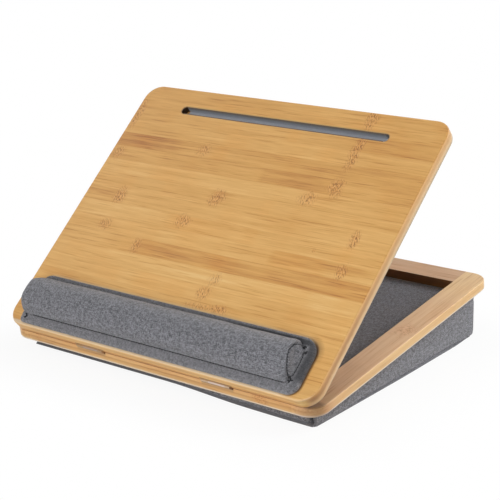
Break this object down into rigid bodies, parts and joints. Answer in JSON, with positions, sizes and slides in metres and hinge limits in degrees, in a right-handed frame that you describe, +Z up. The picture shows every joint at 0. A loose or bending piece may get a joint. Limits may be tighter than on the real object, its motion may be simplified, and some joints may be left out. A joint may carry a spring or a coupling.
{
  "type": "lap desk",
  "caption": "Lap desk: a shallow bamboo tray on a wedge cushion, with a lift lid that carries a wrist pad and a groove for a phone or tablet.",
  "frame": {"origin": "on the surface below, under the middle of the whole desk", "axes": "+X to the user's right along the hinge axis, +Y away from the user, +Z up"},
  "size_m": [0.45, 0.3798, 0.2834],
  "materials": {
    "bamboo": "satin varnish",
    "plywood": "plain sanded",
    "dowel_wood": "plain",
    "grey_cloth": "heathered weave",
    "dark_cloth": "smooth knit",
    "foam": "open cell foam",
    "grey_foam_strip": "matte",
    "steel": "nickel plated",
    "clear_rubber": "translucent matte",
    "moulded_black": "fine grain"
  },
  "bodies": {
    "tray": {"board_screws": "steel", "cushion_core": "foam", "cushion_cover": "grey_cloth", "floor_board": "plywood", "floor_lining": "dark_cloth", "front_rail": "bamboo", "hinge_tray_screws": "steel", "left_hinge_pin": "steel", "left_hinge_tray_leaf": "steel", "left_rack": "bamboo", "left_rail": "bamboo", "rack_screws": "steel", "rail_dowels": "dowel_wood", "rear_rail": "bamboo", "right_hinge_pin": "steel", "right_hinge_tray_leaf": "steel", "right_rack": "bamboo", "right_rail": "bamboo"},
    "lid": {"lid_panel": "bamboo", "groove_liner": "grey_foam_strip", "bumper_dots": "clear_rubber", "left_hinge_lid_leaf": "steel", "right_hinge_lid_leaf": "steel", "hinge_lid_screws": "steel", "left_prop_block": "moulded_black", "right_prop_block": "moulded_black", "prop_block_screws": "steel", "wrist_pad_base": "dark_cloth", "wrist_roll_cover": "grey_cloth", "wrist_roll_core": "foam"},
    "prop": {"prop_wire": "steel"}
  },
  "joints": [
    {"name": "lid_hinge", "type": "hinge", "parent": "tray", "child": "lid", "pos_m": [0, -0.18031, 0.027], "axis": [1, 0, 0], "range_deg": [-33.5, 28.5]},
    {"name": "prop_fold", "type": "hinge", "parent": "lid", "child": "prop", "pos_m": [0, -0.05473, 0.1341], "axis": [1, 0, 0], "range_deg": [-57, 67]}
  ],
  "couplings": [
    {"joint": "prop_fold", "follows": "lid_hinge", "ratio": -2}
  ]
}
